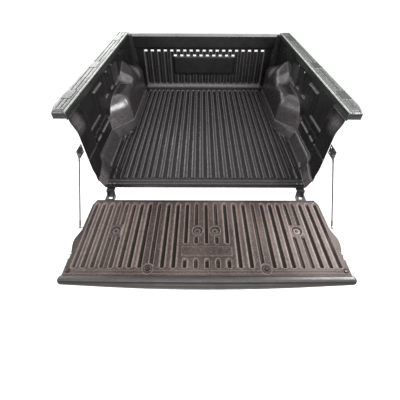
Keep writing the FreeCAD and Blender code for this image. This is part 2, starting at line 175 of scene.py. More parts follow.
# ---- Materials -----------------------------------------------------
class Nodes:
    """Short forms for building one material's node tree."""

    def __init__(self, name):
        self.material = bpy.data.materials.new(name)
        self.material.use_nodes = True
        self.tree = self.material.node_tree
        self.shader = self.tree.nodes["Principled BSDF"]

    def add(self, kind, **values):
        node = self.tree.nodes.new(kind)
        for key, value in values.items():
            if hasattr(node, key):
                setattr(node, key, value)
            else:
                node.inputs[key].default_value = value
        return node

    def link(self, source, target):
        self.tree.links.new(source, target)

    def noise(self, scale, detail):
        node = self.add("ShaderNodeTexNoise", Scale=scale, Detail=detail)
        self.link(self.add("ShaderNodeTexCoord").outputs["Object"], node.inputs["Vector"])
        return node.outputs["Fac"]

    def ramp(self, source, low, high, first, last):
        node = self.add("ShaderNodeMapRange", clamp=True)
        node.inputs["From Min"].default_value, node.inputs["From Max"].default_value = low, high
        node.inputs["To Min"].default_value, node.inputs["To Max"].default_value = first, last
        self.link(source, node.inputs["Value"])
        return node.outputs["Result"]

    def mix(self, share, first, second):
        node = self.add("ShaderNodeMix", data_type="RGBA")
        for value, socket in ((first, node.inputs[6]), (second, node.inputs[7])):
            if isinstance(value, tuple):
                socket.default_value = (*value, 1.0)
            else:
                self.link(value, socket)
        self.link(share, node.inputs[0])
        return node.outputs[2]

    def math(self, operation, first, second):
        node = self.add("ShaderNodeMath", operation=operation)
        for value, socket in ((first, node.inputs[0]), (second, node.inputs[1])):
            if isinstance(value, float):
                socket.default_value = value
            else:
                self.link(value, socket)
        return node.outputs[0]

    def bump(self, height, strength, distance, normal=None):
        node = self.add("ShaderNodeBump", Strength=strength, Distance=distance)
        self.link(height, node.inputs["Height"])
        if normal is not None:
            self.link(normal, node.inputs["Normal"])
        return node.outputs["Normal"]


def plastic(name, dark, light, pale_dust_and_highlight, roughness, grain, dust, specular=0.5, sheen_patch=0.0):
    """Moulded polyethylene: pebbled grain and faint mottling. The piece's first attribute paints it paler, as
    a highlight painted on rims, ledges and sheen, and its deep value paints it darker, as shade in grooves
    and recesses."""
    n = Nodes(name)
    mottle = n.ramp(n.noise(5.0, 6.0), 0.3, 0.7, 0.0, 1.0)
    colour = n.mix(mottle, dark, light)
    if sheen_patch:
        patch = n.ramp(n.noise(2.2, 3.0), 0.42, 0.62, 0.0, sheen_patch)
        colour = n.mix(patch, colour, pale_dust_and_highlight)
    speck = n.ramp(n.noise(160.0, 3.0), 0.50, 0.72, 0.0, dust)
    colour = n.mix(speck, colour, pale_dust_and_highlight)
    # painted highlight: a value at each point mixes the colour towards the pale one, broken up by noise
    painted_highlight = n.add("ShaderNodeAttribute", attribute_name="painted_highlight").outputs["Fac"]
    broken = n.math("MULTIPLY", painted_highlight, n.ramp(n.noise(70.0, 5.0), 0.3, 0.6, 0.45, 1.0))
    colour = n.mix(broken, colour, pale_dust_and_highlight)
    deep = n.add("ShaderNodeAttribute", attribute_name="deep").outputs["Fac"]
    # painted shade: the deep value darkens the colour in grooves and recesses
    colour = n.mix(n.math("MULTIPLY", deep, 0.85), colour, tuple(0.22 * c for c in dark))
    n.link(colour, n.shader.inputs["Base Color"])
    rough = n.ramp(n.noise(14.0, 5.0), 0.3, 0.7, roughness - 0.06, roughness + 0.08)
    n.link(n.math("ADD", rough, n.math("MULTIPLY", deep, 0.3)), n.shader.inputs["Roughness"])
    pebble = n.bump(n.noise(420.0, 3.0), grain, 0.0006)
    n.link(n.bump(n.noise(24.0, 3.0), 0.12, 0.003, pebble), n.shader.inputs["Normal"])
    n.shader.inputs["Specular IOR Level"].default_value = specular
    return n.material


def metal(name, colour, roughness, metallic=1.0):
    """Metal or paint: slightly mottled, with an uneven gloss."""
    n = Nodes(name)
    shade = n.mix(n.ramp(n.noise(30.0, 5.0), 0.35, 0.7, 0.0, 1.0), colour, tuple(c * 0.7 for c in colour))
    n.link(shade, n.shader.inputs["Base Color"])
    rough = n.ramp(n.noise(60.0, 4.0), 0.3, 0.7, roughness - 0.08, roughness + 0.1)
    n.link(rough, n.shader.inputs["Roughness"])
    n.link(n.bump(n.noise(300.0, 2.0), 0.15, 0.0004), n.shader.inputs["Normal"])
    n.shader.inputs["Metallic"].default_value = metallic
    return n.material


TUB = plastic("tub", (0.0030, 0.0028, 0.0030), (0.0065, 0.0058, 0.0062), (0.105, 0.095, 0.099),
              roughness=0.28, grain=0.35, dust=0.03, specular=0.38)
RAIL = plastic("rail", (0.006, 0.0072, 0.0064), (0.014, 0.0155, 0.014), (0.26, 0.27, 0.255),
               roughness=0.34, grain=0.4, dust=0.2, specular=0.32)
# painted highlight: the bulkhead's top strip is pale grey, standing in for the highlight along its top edge
TOP_STRIP_HIGHLIGHT = plastic("strip", (0.13, 0.135, 0.13), (0.19, 0.195, 0.19), (0.35, 0.35, 0.35),
                roughness=0.45, grain=0.3, dust=0.2)
GATE = plastic("gate", (0.0090, 0.0058, 0.0052), (0.023, 0.0150, 0.0128), (0.165, 0.124, 0.111),
               roughness=0.5, grain=0.7, dust=0.4, specular=0.22, sheen_patch=0.22)
BLACK = plastic("black", (0.004, 0.0042, 0.004), (0.009, 0.0095, 0.009), (0.06, 0.065, 0.06),
                roughness=0.4, grain=0.5, dust=0.15)
CAP = plastic("cap", (0.0055, 0.0048, 0.0043), (0.012, 0.0105, 0.0096), (0.08, 0.072, 0.066),
              roughness=0.4, grain=0.5, dust=0.15)
PAINT = metal("paint", (0.012, 0.012, 0.013), 0.4, metallic=0.0)
ZINC = metal("zinc", (0.35, 0.35, 0.33), 0.35)
WASHER = metal("washer", (0.115, 0.100, 0.095), 0.5)
DULL = metal("dull", (0.045, 0.040, 0.040), 0.5)
CABLE = metal("cable", (0.10, 0.10, 0.095), 0.5)


def dress(piece, material):
    """Gives a piece one material."""
    piece.data.materials.clear()
    piece.data.materials.append(material)


# ---- Camera, light and ground, in metres ---------------------------
LENS, SENSOR, SHIFT = 23.61, 36.0, (-0.0028, -0.0569)  # the first two in millimetres
CAMERA_ACROSS, CAMERA_BEHIND, CAMERA_ABOVE = -0.0329, 1.1924, 1.155  # from the middle of the tub's rear edge
YAW, PITCH, ROLL = -0.0033, 0.7324, -0.0052  # radians
SKY, SKY_AHEAD = 1.15, 0.5  # strength behind and ahead, where it is darker
SKY_AIM, SKY_FADE = (0.5, 0.85, 0.1), 0.85  # which way is ahead, and where along it the sky is darkest
OVERHEAD, OVERHEAD_AIM, OVERHEAD_ANGLE = 0.8, (0.05, -0.18, -1.0), 40.0  # a soft sun
# Name, place, what it faces, size and watts of each softbox.
SOFTBOXES = [
    ("right", (1.6, -0.35, 1.4), (-0.66, -0.11, 0.23), (0.7, 1.2), 110),
    ("rear", (0.0, -2.8, 1.6), (0.0, 0.7, 0.1), (2.2, 1.0), 34),
    ("left", (-2.4, 0.2, 1.6), (0.64, -0.08, 0.2), (0.8, 1.2), 50),
    ("front", (-2.4, 3.4, 1.8), (0, 0, 0.4), (2.6, 1.6), 85),
]
GROUND_UP, GROUND_REACH = -1.6, 60


def camera():
    data = bpy.data.cameras.new("camera")
    data.sensor_width, data.lens = SENSOR, LENS
    data.shift_x, data.shift_y = SHIFT
    view = show("camera", data)
    view.location = (CAMERA_ACROSS, REAR - CAMERA_BEHIND, RIB_TOP + CAMERA_ABOVE)
    level = math.cos(PITCH)
    aim = Vector((-math.sin(YAW) * level, math.cos(YAW) * level, -math.sin(PITCH)))
    view.rotation_euler = aim.to_track_quat("-Z", "Y").to_matrix().to_euler()
    view.rotation_euler.rotate_axis("Z", -ROLL)
    bpy.context.scene.camera = view


def sky():
    """A white sky that is darker ahead, which keeps the floor's tone dark."""
    world = bpy.data.worlds.new("studio")
    bpy.context.scene.world = world
    world.use_nodes = True
    tree = world.node_tree
    background = tree.nodes["Background"]
    background.inputs["Color"].default_value = (1, 1, 1, 1)
    facing = tree.nodes.new("ShaderNodeTexCoord")
    ahead = tree.nodes.new("ShaderNodeVectorMath")
    ahead.operation = "DOT_PRODUCT"
    ahead.inputs[1].default_value = SKY_AIM
    fade = tree.nodes.new("ShaderNodeMapRange")
    fade.interpolation_type = "SMOOTHSTEP"
    fade.inputs["From Max"].default_value = SKY_FADE
    fade.inputs["To Min"].default_value, fade.inputs["To Max"].default_value = SKY, SKY_AHEAD
    tree.links.new(facing.outputs["Generated"], ahead.inputs[0])
    tree.links.new(ahead.outputs["Value"], fade.inputs["Value"])
    tree.links.new(fade.outputs["Result"], background.inputs["Strength"])


def lamp(name, kind, aim, power, location=(0, 0, 0)):
    """A new light that shines along aim."""
    data = bpy.data.lights.new(name, kind)
    data.energy = power
    piece = show(name, data)
    piece.location = location
    piece.rotation_euler = Vector(aim).to_track_quat("-Z", "Y").to_euler()
    return data


def ground():
    """A wide, nearly white ground well below the tailgate."""
    mesh = bpy.data.meshes.new("floor")
    corners = [(x * GROUND_REACH, y * GROUND_REACH, 0) for x, y in ((-1, -1), (1, -1), (1, 1), (-1, 1))]
    mesh.from_pydata(corners, [], [(0, 1, 2, 3)])
    plane = show("floor", mesh)
    plane.location = (0, 0, GROUND_UP)
    n = Nodes("floor")
    n.shader.inputs["Base Color"].default_value = (0.93, 0.93, 0.93, 1)
    n.shader.inputs["Roughness"].default_value = 0.9
    mesh.materials.append(n.material)


def studio():
    sky()
    lamp("overhead", "SUN", OVERHEAD_AIM, OVERHEAD).angle = math.radians(OVERHEAD_ANGLE)
    for name, location, target, size, power in SOFTBOXES:
        box = lamp(name, "AREA", Vector(target) - Vector(location), power, location)
        box.shape = "RECTANGLE"
        box.size, box.size_y = size
    ground()
    bpy.context.scene.view_settings.view_transform = "Standard"


camera()
studio()


# ---- Tub: plan of the walls and arches -----------------------------
def rounded_corner(a, corner, b, radius, count=7):
    """Points of an arc that rounds a corner of a plan outline."""
    a, corner, b = (np.array(p, dtype=float) for p in (a, corner, b))
    into, out = (a - corner) / np.linalg.norm(a - corner), (b - corner) / np.linalg.norm(b - corner)
    half = math.acos(float(np.clip(into @ out, -1, 1))) / 2
    reach = radius / math.tan(half)
    centre = corner + (into + out) / np.linalg.norm(into + out) * radius / math.sin(half)
    first, last = corner + into * reach - centre, corner + out * reach - centre
    angles = [math.atan2(v[1], v[0]) for v in (first, last)]
    sweep = (angles[1] - angles[0] + math.pi) % (2 * math.pi) - math.pi
    turns = np.linspace(angles[0], angles[0] + sweep, count)
    return [centre + radius * np.array([math.cos(t), math.sin(t)]) for t in turns]


# Corners of the right side's plan (x, along), with the radius of each: at the foot, and at the arch's top.
FOOT_PLAN = [(662, -40, 0), (664, 50, 60), (682, 165, 40), (WALL_FOOT, 205, 40), (WALL_FOOT, ARCH_WALL, 14),
             (ARCH_INNER, ARCH_CORNER, 22), (ARCH_INNER, ARCH_FRONT - 55, 40),
             (ARCH_INNER + 62, ARCH_FRONT, 25), (WALL_FOOT, ARCH_FRONT + 12, 6), (WALL_FOOT, 1600, 0)]
TOP_PLAN = [*FOOT_PLAN[:4], (WALL_FOOT, ARCH_WALL + 52, 14), (ARCH_INNER + 2, ARCH_CORNER - 32, 40),
            *FOOT_PLAN[6:]]


def wall_plan(corners):
    """An outline of the right wall and arch, as points (x, along) with rounded corners."""
    places = [corner[:2] for corner in corners]
    points = [np.array(places[0], dtype=float)]
    for i, (_, _, radius) in enumerate(corners[1:-1]):
        points += rounded_corner(places[i], places[i + 1], places[i + 2], radius)
    return np.array(points + [np.array(places[-1], dtype=float)])


FOOT, TOP = wall_plan(FOOT_PLAN), wall_plan(TOP_PLAN)


def half_width(along, plan=FOOT):
    """Half width of the bed inside the wall or arch."""
    return np.interp(along, plan[:, 1], plan[:, 0])


def plan_distance(x, along, plan=FOOT):
    """Distance from a point to a plan outline, and how far along the outline it is nearest."""
    best, where = np.full(np.broadcast(x, along).shape, 1e9), np.zeros(np.broadcast(x, along).shape)
    for a, b in zip(plan[:-1], plan[1:]):
        run = b - a
        t = np.clip(((x - a[0]) * run[0] + (along - a[1]) * run[1]) / (run @ run), 0, 1)
        far = np.hypot(x - a[0] - t * run[0], along - a[1] - t * run[1])
        nearer = far < best
        best, where = np.where(nearer, far, best), np.where(nearer, a[1] + t * run[1], where)
    return best, where


def crease(where):
    """Height and width of the sloping foot, along the wall."""
    stops = [-40, 60, 170, 230, ARCH_WALL, ARCH_CORNER, 1600]
    tall = np.interp(where, stops, [48, 56, 66, 85, 86, 50, 46])
    wide = np.interp(where, stops, [26, 34, 40, 60, 62, 24, 22])
    return tall, wide


def cove_rise(share):
    """Rise of the sloping foot from the floor, 0 to 1: an even slope that rounds over into a narrow ledge."""
    run = share / 0.8
    over = np.clip(run - 0.85, 0, 0.3)
    return np.minimum(run, 0.85) + over - over**2 / 0.6


# ---- Tub: floor ----------------------------------------------------
FLOOR_SPLIT = 560.0  # beyond this the floor's grid narrows beside the arch, and its grooves are short
STRIP_STEPS = ((56, 3.0), (32, 2.5), (6, -2.0))  # along and fall of each step of the floor's rear strip
STRIP_HALF = 640.0


def groove_lines(pitch, outer_pitch):
    """(x, is it a narrow outer one) of the grooves on the right half, the middle one included."""
    lines = [(i * pitch, False) for i in range(GROOVES_EACH)]
    first = lines[-1][0] + (pitch + outer_pitch) / 2
    return lines + [(first + i * outer_pitch, True) for i in range(GROOVES_EACH)]


FLOOR_GROOVES = groove_lines(RIB_PITCH, OUTER_PITCH)


def groove_span(x0):
    """Start and end of a groove. Those in line with the arch are short, and the outermost start later."""
    start = 165.0 if x0 > 620 else 80.0
    end = 655.0 - (x0 - 580) * 0.6 if x0 > FLOOR_SPLIT else 1456.0
    return start, end


def floor_height(x, along):
    """Height of the floor, with painted highlights on the rims of its grooves and painted shade in them. The
    rear edge is a stepped strip, with painted highlights along its steps.
    """
    height, rim_highlight, deep = (np.zeros(np.broadcast(x, along).shape) for _ in range(3))
    for x0, outer in FLOOR_GROOVES:
        start, end = groove_span(x0)
        inside = slot_inside(x, along, x0, OUTER_GROOVE if outer else GROOVE, start, end)
        height -= GROOVE_DEPTH * smooth(inside / GROOVE_EDGE)
        rim_highlight = np.maximum(rim_highlight, rim_band(inside, 2.4))
        deep = np.maximum(deep, groove_shade(inside))
    middle = smooth((STRIP_HALF - x) / 12)
    for step, fall in STRIP_STEPS:
        height -= middle * fall * smooth((step - along) / 4 + 0.5)
        rim_highlight = np.maximum(rim_highlight, 0.6 * middle * smooth(1 - np.abs(along - step - 2) / 3))
    return height, rim_highlight, deep


# ---- Tub: side wall ------------------------------------------------
# Recesses in the side wall: along from, to, up from, to, depth, edge width.
WALL_RECESSES = [
    (196, 425, 272, 478, 9, 6),
    (196, 236, 168, 246, 8, 6), (256, 342, 168, 246, 8, 6), (362, 560, 168, 246, 8, 6),
    (412, 588, 430, 466, 10, 6),
    (588, 664, 312, 446, 13, 7), (742, 818, 312, 446, 13, 7),
    (852, 1002, 296, 440, 18, 8),
]
RECESS_DEPTH = 18  # the deepest of them
WALL_RIBS, WALL_RIB_HALF, WALL_RIB_PROUD = (1180, 1262, 1345, 1428), 11, 5.0  # upright, above the arch
WALL_RIB_LOW, WALL_RIB_TOP = 325, 480
PILLAR_END, PILLAR_PROUD = 192, 34.0  # the rear pillar
BULKHEAD_BEND = 55.0  # radius of the upright corner between wall and bulkhead


def wall_lean(up):
    """How far the wall has leaned out at a height."""
    return WALL_LEAN * (up - WALL_FOOT_UP)


def wall_bulge(along, up):
    """How far the rear pillar stands in from the wall. It tapers away to a small step at its top."""
    taper = 0.4 * smooth((486 - up) / 8) + 0.6 * smooth((474 - up) / 90)
    return PILLAR_PROUD * smooth((PILLAR_END - along) / 40) * taper


def wall_recess(along, up):
    """How far the wall is set back, outward, by its recesses. Its ribs stand in from it."""
    depth = np.zeros(np.broadcast(along, up).shape)
    for a0, a1, u0, u1, deep, edge in WALL_RECESSES:
        depth = np.maximum(depth, deep * block(along, up, a0, a1, u0, u1, edge))
    ribs = sum(block(along, up, at - WALL_RIB_HALF, at + WALL_RIB_HALF, WALL_RIB_LOW, WALL_RIB_TOP, 9)
               for at in WALL_RIBS)
    return depth - WALL_RIB_PROUD * ribs


def wall_x(along, up):
    """Half width at a height of the wall."""
    into = np.clip(along - (FLOOR_LENGTH - BULKHEAD_BEND), 0, BULKHEAD_BEND)
    corner = BULKHEAD_BEND - np.sqrt(BULKHEAD_BEND**2 - into**2)
    return WALL_FOOT + wall_lean(up) - wall_bulge(along, up) + wall_recess(along, up) - corner


# ---- Tub: arch top -------------------------------------------------
KNOB_X, KNOB_HALF, KNOB_HIGH = 618, 42, 24


def beside_arch(along):
    """Whether a row crosses the arch."""
    return (half_width(along) < WALL_FOOT - 0.5) & (along > 300)


def arch_edge(along):
    """Height at which the arch's side begins to round over: lower at its rear, where the curve is broad."""
    return ARCH_REAR_EDGE + (ARCH_EDGE - ARCH_REAR_EDGE) * smooth((along - 690) / 120)


def side_edge(along):
    """Height at which the side strip ends, in every row."""
    return np.where(beside_arch(along), arch_edge(along), ARCH_EDGE)


def arch_height(x, along):
    """Top of the arch, rounded along its rim. In front a wedge rises to the wall, with a knob beside it."""
    inside, _ = plan_distance(x, along, TOP)
    radius = ARCH_TOP - arch_edge(along)
    short = np.clip(radius - inside, 0, radius)
    height = arch_edge(along) + np.sqrt(radius**2 - short**2)
    share = np.clip((x - ARCH_INNER) / (WALL_FOOT - ARCH_INNER), 0, 1)
    riser = 0.60 * (along - 955 + 22 * share)
    band = share * (61 + 0.5 * (along - 1040)) + 3 * (1 - share)
    beyond = share * (116 - 0.5 * (along - 1150))
    wedge = np.clip(np.minimum(np.minimum(riser, band), beyond), 0, None)
    away = np.hypot((x - KNOB_X) / KNOB_HALF, (along - 1240) / 62)
    knob = KNOB_HIGH * np.clip(1 - away**2, 0, 1) ** 0.7
    return height + np.maximum(wedge, knob)


# ---- Tub: painted highlights and sheen -----------------------------
SIDE_SHEEN, REAR_END_HIGHLIGHT = 0.2, 0.35  # painted sheen on the floor's raised sides, and the painted highlight their rear ends add
ARCH_SHEEN, ARCH_REAR_SHEEN = 0.1, 0.5  # painted sheen on the arches, and on their rear faces
# Painted highlight on the narrow ledge above the floor's raised sides: along, and its strength there.
LEDGE_STOPS, LEDGE_HIGHLIGHT = [0, 200, 500, 560, 760, 1400], [0.5, 0.4, 0.5, 1.0, 1.0, 0.5]


def ledge_highlight(along, up):
    """Painted highlights on the sills of the recesses, on the face of the foremost one, and on the middle of
    the rear pillar.
    """
    painted_highlight = np.zeros(np.broadcast(along, up).shape)
    for a0, a1, u0, *_ in WALL_RECESSES:
        painted_highlight = np.maximum(painted_highlight, block(along, up, a0 + 4, a1 - 4, u0 - 3, u0 + 3, 3))
    painted_highlight = np.maximum(painted_highlight, 0.65 * block(along, up, 905, 1002, 296, 432, 8))
    return np.maximum(painted_highlight, 0.45 * block(along, up, 8, 96, 378, 470, 60))


def fillet_highlight(x, along, up):
    """Painted highlight: a pale line where the arch meets the wall."""
    return 0.7 * smooth((x - wall_lean(up) - WALL_FOOT + 16) / 10) * smooth((960 - along) / 40)


def arch_sheen(along):
    """Painted sheen all over the arch, most on its rear face."""
    return ARCH_SHEEN + (ARCH_REAR_SHEEN - ARCH_SHEEN) * smooth((770 - along) / 30)


def front_highlight(x, along):
    """Painted highlight on the wedge and knob at the arch's front."""
    knob = smooth(1.4 - np.hypot((x - KNOB_X) / KNOB_HALF, (along - 1225) / 50))
    return 0.8 * block(along, x, 962, 1048, 612, 720, 16) + 0.5 * knob


# ---- Tub: assembled from strips, each with its points, painted highlight and painted shade ----
# Stretches with rows close together: along from, to, step.
CLOSE_ROWS = [
    (81, 99, 3), (166, 182, 3.5), (1440, 1458, 3),  # rounded ends of the floor's grooves
    (528, 770, 8), (925, 1060, 6), (1140, 1310, 8), (1372, 1450, 5),  # the arch's rear, wedge, knob and front
    (1474, 1530, 5),  # corner between wall and bulkhead
]


def tub_rows():
    """Where the tub's grid has its rows, along the bed."""
    edges = [3, 32, 56, 92, 165, PILLAR_END] + [start for start, _ in map(groove_span, (0, 630))]
    edges += [end for recess in WALL_RECESSES for end in recess[:2]]
    edges += [at + s * WALL_RIB_HALF for at in WALL_RIBS[:-1] for s in (-1, 1)]
    lines = stations(0, FLOOR_LENGTH, edges, 20.0)
    close = [np.arange(*stretch) for stretch in CLOSE_ROWS]
    lines = np.unique(np.round(np.concatenate([lines, *close]), 1))
    return lines[np.concatenate([[True], np.diff(lines) > 0.7])]


def floor_strip(along):
    """The right half of the floor and its sloping foot."""
    edges = [x0 + s * ((OUTER_GROOVE if outer else GROOVE) - GROOVE_EDGE) / 2
             for x0, outer in FLOOR_GROOVES for s in (-1, 1)]
    inner = stations(0, FLOOR_SPLIT, edges + [0], 14.0, 2.6)
    outer = stations(FLOOR_SPLIT, WALL_FOOT, edges + [645, 700], 8.0, 2.6)[1:]
    share = (outer - FLOOR_SPLIT) / (WALL_FOOT - FLOOR_SPLIT)
    beyond = FLOOR_SPLIT + (half_width(along) - FLOOR_SPLIT) * share
    x = np.concatenate([np.broadcast_to(inner, (len(along), len(inner))), beyond], axis=1)
    away, where = plan_distance(x, along)
    tall, wide = crease(where)
    slope = np.clip(1 - away / wide, 0, 1)
    level, rim_highlight, deep = floor_height(x, along)
    raised = smooth(slope * 6)
    flat = 1 - raised
    # painted highlight on the ledge and rims, painted sheen on the raised sides, painted shade in the grooves
    # of the flat floor
    ledge = smooth((slope - 0.85) / 0.12) * np.interp(where, LEDGE_STOPS, LEDGE_HIGHLIGHT)
    tray_sheen = (SIDE_SHEEN + REAR_END_HIGHLIGHT * smooth((130 - along) / 50)) * raised
    painted_highlight = np.maximum(0.9 * rim_highlight * flat, np.maximum(ledge, tray_sheen))
    return grid(x, along, level * flat + tall * cove_rise(slope)), painted_highlight, deep * flat


def side_strip(along):
    """The steep side above the foot: of the arch, and elsewhere of the wall up to the same height."""
    base, upper, in_arch = half_width(along), half_width(along, TOP), beside_arch(along)
    foot, _ = crease(along)
    share = (stations(85, ARCH_EDGE, [168], 8.0) - 85) / (ARCH_EDGE - 85)
    up = foot + (side_edge(along) - foot) * share
    of_wall = wall_x(along, up) + (base - wall_x(along, foot)) * smooth((150 - up) / 60)
    of_arch = base + (upper - base) * share + WALL_LEAN * (up - foot)
    x = np.where(in_arch, of_arch, of_wall)
    # painted sheen and highlight on the arch; painted highlights on the wall's sills and painted shade in its
    # recesses
    arch_highlight = np.maximum(arch_sheen(along), fillet_highlight(x, along, up))
    painted_highlight = np.where(in_arch, arch_highlight, ledge_highlight(along, up))
    return grid(x, along, up), painted_highlight, np.where(in_arch, 0, wall_recess(along, up) / RECESS_DEPTH)


def top_strip(along, side):
    """The arch's top, from its side to the wall. It has no width where there is no arch."""
    in_arch, edge = beside_arch(along), side_edge(along)
    foot, _ = crease(along)
    share = np.linspace(0, 1, 30) ** 1.6
    x_edge = side[:, -1:, 0]
    x = x_edge + in_arch * np.maximum(WALL_FOOT + 4 - x_edge, 0) * share
    lean_in = WALL_LEAN * (edge - foot)
    up = np.where(in_arch, arch_height(x - lean_in * (1 - share), along), edge)
    # painted sheen on the arch's top, with painted highlights on the wedge, the knob and the line along the
    # wall
    painted_highlight = arch_sheen(along) + front_highlight(x, along)
    return grid(x, along, up), np.clip(painted_highlight, in_arch * fillet_highlight(x, along, up), 1), np.zeros(x.shape)


def wall_strip(along, start):
    """The wall from the end of the strip below, at start, up to its top edge."""
    edges = [up for recess in WALL_RECESSES for up in recess[2:4] if up > ARCH_TOP]
    lines = stations(ARCH_TOP, WALL_TOP, edges + [WALL_RIB_LOW, WALL_RIB_TOP], 9.0)[1:]
    low = start + (np.maximum(ARCH_TOP, start) - start) * np.linspace(0, 1, 9)
    up = np.concatenate([low, np.maximum(lines, start)], axis=1)
    # painted highlights on the sills, painted shade in the recesses, darker the deeper they are
    return grid(wall_x(along, up), along, up), ledge_highlight(along, up), wall_recess(along, up) / RECESS_DEPTH


def tub_half():
    """Points, painted highlight and painted shade of the right half, from the middle of the floor up to the
    wall's top edge.
    """
    along = tub_rows()[:, None]
    floor, side = floor_strip(along), side_strip(along)
    top = top_strip(along, side[0])
    wall = wall_strip(along, top[0][:, -1:, 2])
    strips = [floor] + [[values[:, 1:] for values in strip] for strip in (side, top, wall)]
    points, painted_highlight, deep = (np.concatenate(parts, axis=1) for parts in zip(*strips))
    return points, painted_highlight, np.clip(deep, 0, 1)


# ---- Bulkhead ------------------------------------------------------
COVE = 36.0  # radius of its foot
PLATE_HALF, PLATE_LOW, PLATE_TOP, PLATE_PROUD = 298, 143, 305, 4.0  # the blank raised plate
PLATE_GAP = 6  # between the plate and the grooves
FLUTES, FLUTE_HALF, FLUTE_LOW, FLUTE_TOP, FLUTE_DEPTH = 9, 12, 40, 378, 8.0  # grooves each side of the middle
BAND_UP, BAND_PROUD = 381, 3.0  # the plain band above the vents
BOARD_HALF = 700


def board_lines():
    """Where the bulkhead's grid has its columns and rows."""
    edges = [i * VENT_PITCH + s * FLUTE_HALF for i in range(FLUTES + 1) for s in (-1, 1)]
    vents = [i * VENT_PITCH / 2 + s * VENT_WIDE / 2 for i in range(19) for s in (-1, 1)]
    xs = stations(0, BOARD_HALF, edges + [PLATE_HALF + 2], 12.0, 3.0)
    xs = np.unique(np.round(np.concatenate([xs, [v for v in vents if v >= 0]]), 2))
    sills = [up + s * VENT_HIGH / 2 for _, up in VENT_ROWS for s in (-1, 1)]
    ups = stations(0, WALL_TOP, [PLATE_LOW, PLATE_TOP, 384, 480], 12.0)
    ups = np.unique(np.concatenate([ups, sills, COVE * (1 - np.cos(np.linspace(0, math.pi / 2, 12)))]))
    return np.concatenate([-xs[:0:-1], xs]), ups


def bulkhead_points():
    """The vented bulkhead: grooves, the blank raised plate and the rounded foot."""
    xs, ups = board_lines()
    x, up = xs[None, :], ups[:, None]
    near = np.abs(x)
    short = np.clip(COVE - up, 0, COVE)
    proud = COVE - np.sqrt(np.clip(COVE**2 - short**2, 0, None))
    proud = proud + PLATE_PROUD * block(near, up, -10, PLATE_HALF, PLATE_LOW, PLATE_TOP, 6)
    # painted shade under the plate's lower edge and in the flutes; painted highlights along the flutes' edges
    # and on the foot's cove
    deep = 0.9 * smooth((6 - np.abs(up - PLATE_LOW)) / 4) * (near < PLATE_HALF + 2)
    rim_highlight = smooth(1.2 - np.abs(up - 24) / 22) * smooth((600 - near) / 20)
    gap = PLATE_GAP
    open_board = 1 - block(near, up, -10, PLATE_HALF + gap, PLATE_LOW - gap, PLATE_TOP + gap, 6)
    for i in range(-FLUTES, FLUTES + 1):
        x0 = i * VENT_PITCH
        flute = block(x, up, x0 - FLUTE_HALF, x0 + FLUTE_HALF, FLUTE_LOW, FLUTE_TOP, 8) * open_board
        proud = proud - FLUTE_DEPTH * flute
        edge = smooth(1 - np.abs(np.abs(x - x0) - FLUTE_HALF - 3) / 4)
        ends = smooth((up - FLUTE_LOW) / 10) * smooth((FLUTE_TOP - 2 - up) / 8)
        rim_highlight = np.maximum(rim_highlight, 0.8 * edge * ends * open_board)
        deep = np.maximum(deep, 0.8 * flute)
    proud = proud + BAND_PROUD * smooth((up - BAND_UP) / 8)
    along = FLOOR_LENGTH - proud
    spread = np.clip((near - 600) / 100, 0, 1) * (WALL_FOOT + wall_lean(up) + 3 - BOARD_HALF)
    points = np.stack([x + np.sign(x) * spread, along, np.broadcast_to(up, along.shape)], axis=-1)
    return points, rim_highlight, deep


def outside_vents(points):
    """Which faces of the bulkhead's grid lie clear of the vents."""
    middle = (points[:-1, :-1] + points[1:, 1:]) / 2
    x, height = middle[..., 0], middle[..., 2]
    keep = np.ones(x.shape, dtype=bool)
    for count, up in VENT_ROWS:
        for i in range(count):
            x0 = (i - (count - 1) / 2) * VENT_PITCH
            keep &= ~((np.abs(x - x0) < VENT_WIDE / 2) & (np.abs(height - up) < VENT_HIGH / 2))
    return keep


def make_tub():
    half, painted_highlight, deep = tub_half()
    points = np.concatenate([half[:, :0:-1] * np.array([-1, 1, 1]), half], axis=1)
    painted_highlight, deep = (np.concatenate([values[:, :0:-1], values], axis=1) for values in (painted_highlight, deep))
    trough = grid_object("tub_skin", points, painted_highlight, deep)
    front, painted_highlight, deep = bulkhead_points()
    board = grid_object("bulkhead_skin", front, painted_highlight, deep, close=False)
    keep = outside_vents(front).reshape(-1)
    edit = bmesh.new()
    edit.from_mesh(board.data)
    bmesh.ops.delete(edit, geom=[face for face, kept in zip(edit.faces, keep) if not kept], context="FACES")
    edit.to_mesh(board.data)
    edit.free()
    for piece in (trough, board):
        dress(thicken(piece, SHEET), TUB)
        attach(piece, "tub")
    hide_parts("tub_liner")
    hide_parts("tub_liner")


make_tub()


# ---- Rail caps -----------------------------------------------------
RAIL_IN, RAIL_OUT, RAIL_UP, RAIL_REAR, RAIL_FRONT = 715.0, 800.0, 517.0, -3.0, 1552.0
RAIL_DROP_IN, RAIL_DROP_OUT = 44.0, 34.0
RAIL_BEND, RAIL_TURN = 3.0, 5.0  # radius of its long edges, and of its ends
RIBBED = ((39, 149), (259, 619), (736, 1264), (1429, 1545))  # from and to of each grooved stretch
BROAD_HALF, BROAD_DEPTH, NARROW_HALF, NARROW_DEPTH = 3.6, 4.5, 2.2, 3.0
# Points across a broad and a narrow groove, from its centre line.
BROAD_STEPS = (6.4, 5.6, 4.6, 3.6, 2.6, 1.2, 0, -1.2, -2.6, -3.6, -4.6, -5.6, -6.4)
NARROW_STEPS = (4.2, 2.6, 1.8, 0.8, 0, -0.8, -1.8, -2.6, -4.2)


def rail_grooves(along):
    """Centre lines of the two broad grooves and the narrow inner one. They spread towards the front."""
    share = np.clip(along / RAIL_FRONT, 0, 1)
    return 774 + 18 * share, 750 + 13 * share, 727 + 4 * share


